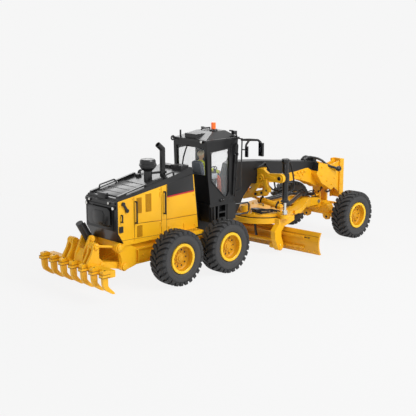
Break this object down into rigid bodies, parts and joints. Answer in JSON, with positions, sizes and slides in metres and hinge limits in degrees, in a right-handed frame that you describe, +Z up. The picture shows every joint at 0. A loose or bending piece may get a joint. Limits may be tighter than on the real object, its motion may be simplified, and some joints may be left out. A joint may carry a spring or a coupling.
{
  "type": "motor grader scale model",
  "caption": "Die-cast scale model of an articulated motor grader with tandem drive, leaning steered front axle, turning circle and blade, and a rear ripper.",
  "frame": {"origin": "on the ground under the middle of the whole model", "axes": "+X forward along the machine, +Y to its left, +Z up"},
  "size_m": [0.217, 0.086, 0.0786],
  "materials": {
    "yellow_paint": "gloss die-cast enamel",
    "black_paint": "satin black plastic",
    "grey_seat": "matt grey plastic",
    "rubber": "soft moulded tyre",
    "chrome_rod": "bright plated rod",
    "clear_glass": "clear glazing plastic",
    "amber_lens": "translucent amber plastic",
    "figure_paint": "painted plastic figure"
  },
  "bodies": {
    "rear_frame": {"rear_chassis": "yellow_paint", "hood_panels": "yellow_paint", "hood_top": "black_paint", "rear_grille": "black_paint", "exhaust_stack": "black_paint", "air_cleaner": "black_paint", "hood_fittings": "black_paint"},
    "front_frame": {"boom": "yellow_paint", "push_plate": "yellow_paint", "saddle": "yellow_paint", "cab_floor": "black_paint", "cab_frame": "black_paint", "cab_doors": "black_paint", "cab_roof": "black_paint", "cab_glass": "clear_glass", "cab_seat": "grey_seat", "cab_controls": "black_paint", "operator_figure": "figure_paint", "beacon": "amber_lens", "mirrors": "black_paint", "cab_steps": "black_paint", "front_lamps": "black_paint"},
    "tandem_left": {"tandem_case_left": "yellow_paint"},
    "tandem_right": {"tandem_case_right": "yellow_paint"},
    "wheel_rear_left": {"tyre_rear_left": "rubber", "rim_rear_left": "yellow_paint"},
    "wheel_rear_right": {"tyre_rear_right": "rubber", "rim_rear_right": "yellow_paint"},
    "wheel_mid_left": {"tyre_mid_left": "rubber", "rim_mid_left": "yellow_paint"},
    "wheel_mid_right": {"tyre_mid_right": "rubber", "rim_mid_right": "yellow_paint"},
    "wheel_front_left": {"tyre_front_left": "rubber", "rim_front_left": "yellow_paint"},
    "wheel_front_right": {"tyre_front_right": "rubber", "rim_front_right": "yellow_paint"},
    "ball": {"drawbar_ball": "chrome_rod"},
    "drawbar": {"drawbar": "yellow_paint", "drawbar_hoses": "black_paint"},
    "circle": {"circle": "yellow_paint"},
    "blade_carrier": {"blade_carrier": "yellow_paint"},
    "blade": {"moldboard": "yellow_paint"},
    "lift_barrel_left": {"lift_barrel_left": "black_paint"},
    "lift_rod_left": {"lift_rod_left": "chrome_rod"},
    "lift_barrel_right": {"lift_barrel_right": "black_paint"},
    "lift_rod_right": {"lift_rod_right": "chrome_rod"},
    "shift_barrel": {"shift_barrel": "yellow_paint"},
    "shift_rod": {"shift_rod": "chrome_rod"},
    "axle": {"axle_beam": "yellow_paint"},
    "lean_left": {"lean_yoke_left": "yellow_paint"},
    "knuckle_left": {"knuckle_left": "yellow_paint"},
    "lean_right": {"lean_yoke_right": "yellow_paint"},
    "knuckle_right": {"knuckle_right": "yellow_paint"},
    "tie_rod": {"tie_rod": "yellow_paint"},
    "lean_bar": {"lean_bar": "yellow_paint"},
    "ripper_link": {"ripper_link": "yellow_paint"},
    "ripper_top_link": {"ripper_top_link": "yellow_paint"},
    "ripper": {"ripper_beam": "yellow_paint"},
    "ripper_barrel": {"ripper_barrel": "black_paint"},
    "ripper_rod": {"ripper_rod": "chrome_rod"}
  },
  "joints": [
    {"name": "articulation", "type": "hinge", "parent": "rear_frame", "child": "front_frame", "pos_m": [-0.0285, 0, 0.018], "axis": [0, 0, 1], "range_deg": [-20, 20]},
    {"name": "tandem_left", "type": "hinge", "parent": "rear_frame", "child": "tandem_left", "pos_m": [-0.0415, 0.017, 0.01475], "axis": [0, 1, 0], "range_deg": [-10, 10]},
    {"name": "spin_rear_left", "type": "hinge", "parent": "tandem_left", "child": "wheel_rear_left", "pos_m": [-0.0591, 0.02565, 0.01475], "axis": [0, 1, 0], "continuous": true},
    {"name": "spin_mid_left", "type": "hinge", "parent": "tandem_left", "child": "wheel_mid_left", "pos_m": [-0.0239, 0.02565, 0.01475], "axis": [0, 1, 0], "continuous": true},
    {"name": "tandem_right", "type": "hinge", "parent": "rear_frame", "child": "tandem_right", "pos_m": [-0.0415, -0.017, 0.01475], "axis": [0, 1, 0], "range_deg": [-10, 10]},
    {"name": "spin_rear_right", "type": "hinge", "parent": "tandem_right", "child": "wheel_rear_right", "pos_m": [-0.0591, -0.02565, 0.01475], "axis": [0, 1, 0], "continuous": true},
    {"name": "spin_mid_right", "type": "hinge", "parent": "tandem_right", "child": "wheel_mid_right", "pos_m": [-0.0239, -0.02565, 0.01475], "axis": [0, 1, 0], "continuous": true},
    {"name": "axle_swing", "type": "hinge", "parent": "front_frame", "child": "axle", "pos_m": [0.0895, 0, 0.017], "axis": [1, 0, 0], "range_deg": [-8, 8]},
    {"name": "lean_left", "type": "hinge", "parent": "axle", "child": "lean_left", "pos_m": [0.0895, 0.0128, 0.0125], "axis": [1, 0, 0], "range_deg": [-15, 15]},
    {"name": "steer_left", "type": "hinge", "parent": "lean_left", "child": "knuckle_left", "pos_m": [0.0895, 0.0182, 0.014], "axis": [0, 0, 1], "range_deg": [-30, 30]},
    {"name": "spin_front_left", "type": "hinge", "parent": "knuckle_left", "child": "wheel_front_left", "pos_m": [0.0895, 0.02565, 0.01475], "axis": [0, 1, 0], "continuous": true},
    {"name": "lean_right", "type": "hinge", "parent": "axle", "child": "lean_right", "pos_m": [0.0895, -0.0128, 0.0125], "axis": [1, 0, 0], "range_deg": [-15, 15]},
    {"name": "steer_right", "type": "hinge", "parent": "lean_right", "child": "knuckle_right", "pos_m": [0.0895, -0.0182, 0.014], "axis": [0, 0, 1], "range_deg": [-30, 30]},
    {"name": "spin_front_right", "type": "hinge", "parent": "knuckle_right", "child": "wheel_front_right", "pos_m": [0.0895, -0.02565, 0.01475], "axis": [0, 1, 0], "continuous": true},
    {"name": "tie_rod_slide", "type": "slide", "parent": "axle", "child": "tie_rod", "axis": [0, 1, 0], "range_m": [-0.00403, 0.00403]},
    {"name": "lean_bar_slide", "type": "slide", "parent": "axle", "child": "lean_bar", "axis": [0, 1, 0], "range_m": [-0.00176, 0.00176]},
    {"name": "drawbar_swing", "type": "hinge", "parent": "front_frame", "child": "ball", "pos_m": [0.0825, 0, 0.021], "axis": [0, 0, 1], "range_deg": [-4, 4]},
    {"name": "drawbar_lift", "type": "hinge", "parent": "ball", "child": "drawbar", "pos_m": [0.0825, 0, 0.021], "axis": [0, 1, 0], "range_deg": [-0.8, 5]},
    {"name": "circle_turn", "type": "hinge", "parent": "drawbar", "child": "circle", "pos_m": [0.033, 0, 0.019], "axis": [0, 0, 1], "continuous": true},
    {"name": "blade_pitch", "type": "hinge", "parent": "circle", "child": "blade_carrier", "pos_m": [0.02582, -0.00056, 0.0042], "axis": [-0.0785, 0.9969, 0], "range_deg": [-12, 6]},
    {"name": "blade_shift", "type": "slide", "parent": "blade_carrier", "child": "blade", "axis": [-0.0785, 0.9969, 0], "range_m": [-0.008, 0.008]},
    {"name": "lift_swing_left", "type": "hinge", "parent": "front_frame", "child": "lift_barrel_left", "pos_m": [0.0295, 0.022, 0.045], "axis": [1, 0, 0], "range_deg": [-11.85, 11.85]},
    {"name": "lift_rod_left", "type": "slide", "parent": "lift_barrel_left", "child": "lift_rod_left", "axis": [0, 0, 1], "range_m": [-0.00077, 0.00481]},
    {"name": "lift_swing_right", "type": "hinge", "parent": "front_frame", "child": "lift_barrel_right", "pos_m": [0.0295, -0.022, 0.045], "axis": [1, 0, 0], "range_deg": [-11.85, 11.85]},
    {"name": "lift_rod_right", "type": "slide", "parent": "lift_barrel_right", "child": "lift_rod_right", "axis": [0, 0, 1], "range_m": [-0.00077, 0.00481]},
    {"name": "shift_turn", "type": "hinge", "parent": "drawbar", "child": "shift_barrel", "pos_m": [0.0355, -0.0137, 0.0255], "axis": [0.9444, 0.3289, 0], "range_deg": [-13.67, 2.19]},
    {"name": "shift_rod_slide", "type": "slide", "parent": "shift_barrel", "child": "shift_rod", "axis": [-0.3184, 0.9143, 0.2502], "range_m": [-0.00366, 0.00366]},
    {"name": "ripper_lift", "type": "hinge", "parent": "rear_frame", "child": "ripper_link", "pos_m": [-0.0829, 0, 0.0117], "axis": [0, 1, 0], "range_deg": [-12, 25]},
    {"name": "ripper_level", "type": "hinge", "parent": "ripper_link", "child": "ripper", "pos_m": [-0.0969, 0, 0.0146], "axis": [0, 1, 0], "range_deg": [-27.5, 13.2]},
    {"name": "ripper_top", "type": "hinge", "parent": "rear_frame", "child": "ripper_top_link", "pos_m": [-0.0857, 0, 0.0219], "axis": [0, 1, 0], "range_deg": [-13.2, 27.5]},
    {"name": "ripper_barrel_turn", "type": "hinge", "parent": "ripper", "child": "ripper_barrel", "pos_m": [-0.0967, 0, 0.027], "axis": [0, 1, 0], "range_deg": [-7.47, 15.57]},
    {"name": "ripper_rod_slide", "type": "slide", "parent": "ripper_barrel", "child": "ripper_rod", "axis": [0.5127, 0, -0.8585], "range_m": [-0.00228, 0.00475]}
  ],
  "couplings": [
    {"joint": "lean_right", "follows": "lean_left", "ratio": 1},
    {"joint": "steer_right", "follows": "steer_left", "ratio": 1},
    {"joint": "tie_rod_slide", "follows": "steer_left", "m_per_rad": 0.007},
    {"joint": "lean_bar_slide", "follows": "lean_left", "m_per_rad": -0.0061},
    {"joint": "lift_swing_left", "follows": "drawbar_swing", "ratio": -2.6926},
    {"joint": "lift_rod_left", "follows": "drawbar_lift", "m_per_rad": 0.050139},
    {"joint": "lift_swing_right", "follows": "drawbar_swing", "ratio": -2.6926},
    {"joint": "lift_rod_right", "follows": "drawbar_lift", "m_per_rad": 0.050139},
    {"joint": "shift_turn", "follows": "drawbar_lift", "ratio": -2.4852},
    {"joint": "shift_rod_slide", "follows": "drawbar_swing", "m_per_rad": 0.047655},
    {"joint": "ripper_level", "follows": "ripper_lift", "ratio": -1},
    {"joint": "ripper_top", "follows": "ripper_lift", "ratio": 1},
    {"joint": "ripper_barrel_turn", "follows": "ripper_lift", "ratio": 0.56609},
    {"joint": "ripper_rod_slide", "follows": "ripper_lift", "m_per_rad": 0.009888}
  ]
}
